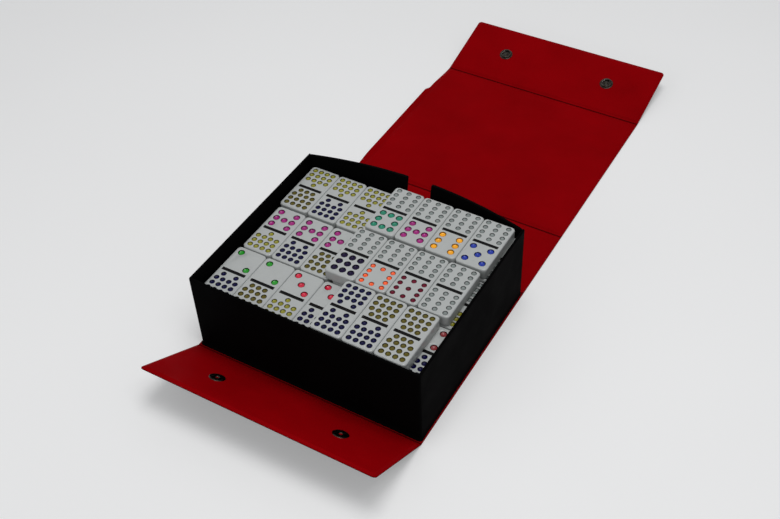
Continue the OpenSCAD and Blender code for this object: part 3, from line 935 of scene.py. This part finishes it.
EDGE_FACES = {1: (0, 12), 0: (12, 13), -1: (4, 14)}
add_plain_layer("sixth_layer_tiles", "sixth_layer_right", EDGE_FACES)
for level in ("first", "second", "third", "fourth", "fifth"):
    add_plain_layer(f"{level}_layer_tiles", f"{level}_layer", {})


# Snaps: pressed and rolled nickel parts, turned from their profiles.
SNAP_X = 52.2
SNAP_D, STUD_D, POST_D = 12.4, 6.8, 4.0
STUD_V = 38.5
SOCKET_V = LID_Y - BACK_Y - STUD_V


def turned(build, place, x0, v0, profile, bright, n=56):
    """Turned part from a closed profile of radii and heights over the panel's outside. On the lining's
    side, what is nearer the middle than bright takes the second metal."""
    rings = []
    for r, h in profile:
        points = circle((x0, v0), r, n) if r else [(x0, v0)]
        rings.append(build.add([place(x, v, h) for x, v in points]))
    for a, b, p, q in zip(rings, rings[1:] + rings[:1], profile, profile[1:] + profile[:1]):
        mat = 1 if (p[0] + q[0]) / 2 < bright and p[1] + q[1] > 0 else 0
        if len(a) > 1 and len(b) > 1:
            build.bridge(a, b, mat)
        elif len(a) > 1:
            build.fan(a, b[0], mat)
        elif len(b) > 1:
            build.fan(b, a[0], mat)


def add_snap(name, panel, v0, profile, metals, bright, node):
    build = Build()
    for x in (-SNAP_X, SNAP_X):
        turned(build, PANELS[panel][0], x, v0, profile, bright)
    obj = make(name, build.points, build.faces, metals, build.mats, smooth=32)
    settle(obj, panel, "nickel", node)


T = PANEL_T
R = SNAP_D / 2
P = POST_D / 2
S = STUD_D / 2
RING = (SNAP_D - 1.8) / 2
BORE = S + 0.3

# Domed cap, and its post rolled over inside the socket.
CAP = [
    (0, -1.1), (R * 0.3, -1.07), (R * 0.55, -0.98), (R * 0.78, -0.76), (R * 0.92, -0.5), (R, -0.24),
    (R, -0.05), (R - 0.15, 0.0), (P, 0.0), (P, T + 0.35), (P + 0.35, T + 0.42), (P + 0.42, T + 0.52),
    (P + 0.3, T + 0.6), (P - 0.25, T + 0.58), (P - 0.5, T + 0.4), (P - 0.8, T + 0.1), (0.55, T + 0.05),
    (0, T + 0.2),
]
# Flange, rolled ring and the bore that takes the stud.
SOCKET = [
    (P + 0.02, T), (R, T), (R + 0.02, T + 0.12), (R - 0.1, T + 0.3), (R - 0.35, T + 0.38),
    (RING + 0.2, T + 0.4), (RING, T + 0.55), (RING - 0.02, T + 1.4), (RING - 0.12, T + 1.72),
    (RING - 0.4, T + 1.92), (RING - 0.8, T + 1.95), (BORE + 0.3, T + 1.93), (BORE + 0.05, T + 1.82),
    (BORE, T + 1.7), (BORE + 0.15, T + 1.64), (BORE + 0.5, T + 1.62), (BORE + 0.5, T + 0.4),
    (P + 0.45, T + 0.34), (P + 0.02, T + 0.32),
]
# Flange and waisted head, on the flap's outside.
STUD = [
    (P + 0.02, 0.0), (R - 0.1, 0.0), (R, -0.1), (R - 0.08, -0.26), (R - 0.3, -0.34), (R - 1.6, -0.4),
    (S + 0.5, -0.37), (S - 0.2, -0.42), (S - 0.35, -0.6), (S - 0.2, -0.82), (S, -1.05), (S - 0.03, -1.28),
    (S - 0.2, -1.48), (S - 0.5, -1.58), (P + 0.3, -1.6), (P + 0.02, -1.5),
]
# Rounded ring on the lining, and its hollow post rolled over in the stud's head.
EYELET = [
    (0, T - 0.25), (P - 0.75, T - 0.2), (P - 0.5, T + 0.2), (P - 0.2, T + 0.45), (P + 0.3, T + 0.57),
    (P + 1.1, T + 0.6), (R * 0.74, T + 0.57), (R * 0.88, T + 0.44), (R * 0.97, T + 0.22), (R, T + 0.02),
    (R - 0.2, T), (P, T), (P, -1.4), (P - 0.1, -1.56), (P - 0.35, -1.6), (P - 0.55, -1.5),
    (P - 0.6, -1.2), (P - 0.75, T - 0.5), (0, T - 0.55),
]
CAP_METALS, EYELET_METALS = [NICKEL, DARK_NICKEL], [DARK_NICKEL, BRIGHT_NICKEL]
add_snap("closing_snap_caps", "closing_flap", SOCKET_V, CAP, CAP_METALS, 9, "snap_caps")
add_snap("closing_snap_sockets", "closing_flap", SOCKET_V, SOCKET, [DARK_NICKEL], 0, "snap_sockets")
add_snap("front_snap_studs", "front_flap", STUD_V, STUD, [NICKEL], 0, "snap_studs")
add_snap("front_snap_eyelets", "front_flap", STUD_V, EYELET, EYELET_METALS, 1.3, "snap_eyelets")


WIRE_R = 0.2
WIRE_BEND_R = BORE + 0.5 - WIRE_R
WIRE_H = T + 1.0
WIRE_ANGLE = 100
WIRE_STEPS = 28


def springs():
    """Two bent wires behind the rim of each socket."""
    build = Build()
    place = PANELS["closing_flap"][0]
    section = circle((WIRE_BEND_R, WIRE_H), WIRE_R, 10)
    for x0 in (-SNAP_X, SNAP_X):
        for side in (0, 180):
            last = None
            for k in range(WIRE_STEPS + 1):
                a = math.radians(side + WIRE_ANGLE * (k / WIRE_STEPS - 0.5))
                c, s = math.cos(a), math.sin(a)
                ids = build.add([place(x0 + r * c, SOCKET_V + r * s, h) for r, h in section])
                if last is None:
                    build.face(ids)
                else:
                    build.bridge(last, ids)
                last = ids
            build.face(last[::-1])
    obj = make("closing_snap_springs", build.points, build.faces, [BRIGHT_NICKEL], smooth=60)
    settle(obj, "closing_flap", "nickel", "socket_springs")


springs()


# Floor, backdrop and light.
def pale_for_camera(tree, lit, white):
    """Shows plain white to the camera and to glossy rays, and lights the scene with something softer."""
    path = tree.nodes.new("ShaderNodeLightPath")
    most = tree.nodes.new("ShaderNodeMath")
    most.operation = "MAXIMUM"
    tree.links.new(path.outputs["Is Camera Ray"], most.inputs[0])
    tree.links.new(path.outputs["Is Glossy Ray"], most.inputs[1])
    mix = tree.nodes.new("ShaderNodeMixShader")
    tree.links.new(most.outputs[0], mix.inputs[0])
    tree.links.new(lit, mix.inputs[1])
    tree.links.new(white, mix.inputs[2])
    return mix.outputs[0]


def background(tree, colour, strength):
    n = tree.nodes.new("ShaderNodeBackground")
    n.inputs["Color"].default_value = (*colour, 1)
    n.inputs["Strength"].default_value = strength
    return n.outputs[0]


SOFT_LIGHT = 0.27
FLOOR_GLOW = 0.24
FLOOR_HALF = 4.0
FLOOR_AT = (0, 0.12, -0.0002)

world = bpy.data.worlds.new("studio")
scene.world = world
world.use_nodes = True
tree = world.node_tree
tree.nodes.clear()
out = tree.nodes.new("ShaderNodeOutputWorld")
soft = background(tree, (0.95, 0.97, 1.0), SOFT_LIGHT)
white = background(tree, (1, 1, 1), 1.0)
tree.links.new(pale_for_camera(tree, soft, white), out.inputs[0])

mat, tree, shader = new_material("pale_floor")
tone = ramp(tree, noise(tree, coords(tree), 3, 2), [(0.3, (0.78,) * 3), (0.7, (0.80,) * 3)])
tree.links.new(tone, shader.inputs["Base Color"])
shader.inputs["Roughness"].default_value = 0.9
shader.inputs["Specular IOR Level"].default_value = 0.05
glow = tree.nodes.new("ShaderNodeEmission")
glow.inputs["Color"].default_value = (1, 1, 1, 1)
path = tree.nodes.new("ShaderNodeLightPath")
strength = tree.nodes.new("ShaderNodeMath")
strength.operation = "MULTIPLY"
strength.inputs[1].default_value = FLOOR_GLOW
tree.links.new(path.outputs["Is Camera Ray"], strength.inputs[0])
tree.links.new(strength.outputs[0], glow.inputs["Strength"])
both = tree.nodes.new("ShaderNodeAddShader")
tree.links.new(shader.outputs[0], both.inputs[0])
tree.links.new(glow.outputs[0], both.inputs[1])
tree.links.new(both.outputs[0], tree.nodes["Material Output"].inputs[0])
bm = bmesh.new()
bmesh.ops.create_grid(bm, x_segments=8, y_segments=8, size=FLOOR_HALF)
mesh = bpy.data.meshes.new("floor")
bm.to_mesh(mesh)
bm.free()
mesh.materials.append(mat)
floor = bpy.data.objects.new("floor", mesh)
floor.location = FLOOR_AT
scene.collection.objects.link(floor)


def area_light(name, at, look, size, power, colour=(1, 1, 1)):
    data = bpy.data.lights.new(name, "AREA")
    data.shape = "RECTANGLE"
    data.size, data.size_y = size
    data.energy = power
    data.color = colour
    obj = bpy.data.objects.new(name, data)
    obj.location = at
    obj.rotation_mode = "QUATERNION"
    obj.rotation_quaternion = (Vector(look) - Vector(at)).to_track_quat("-Z", "Y")
    scene.collection.objects.link(obj)


area_light("key", (0.42, -0.15, 1.15), (0, 0, 0), (0.45, 0.45), 1.8)
area_light("front", (-0.35, -1.0, 0.7), (0, 0, 0.03), (0.9, 0.7), 1.3)
area_light("top", (0.08, 0.08, 1.4), (0.04, 0, 0), (0.6, 0.6), 5.9)
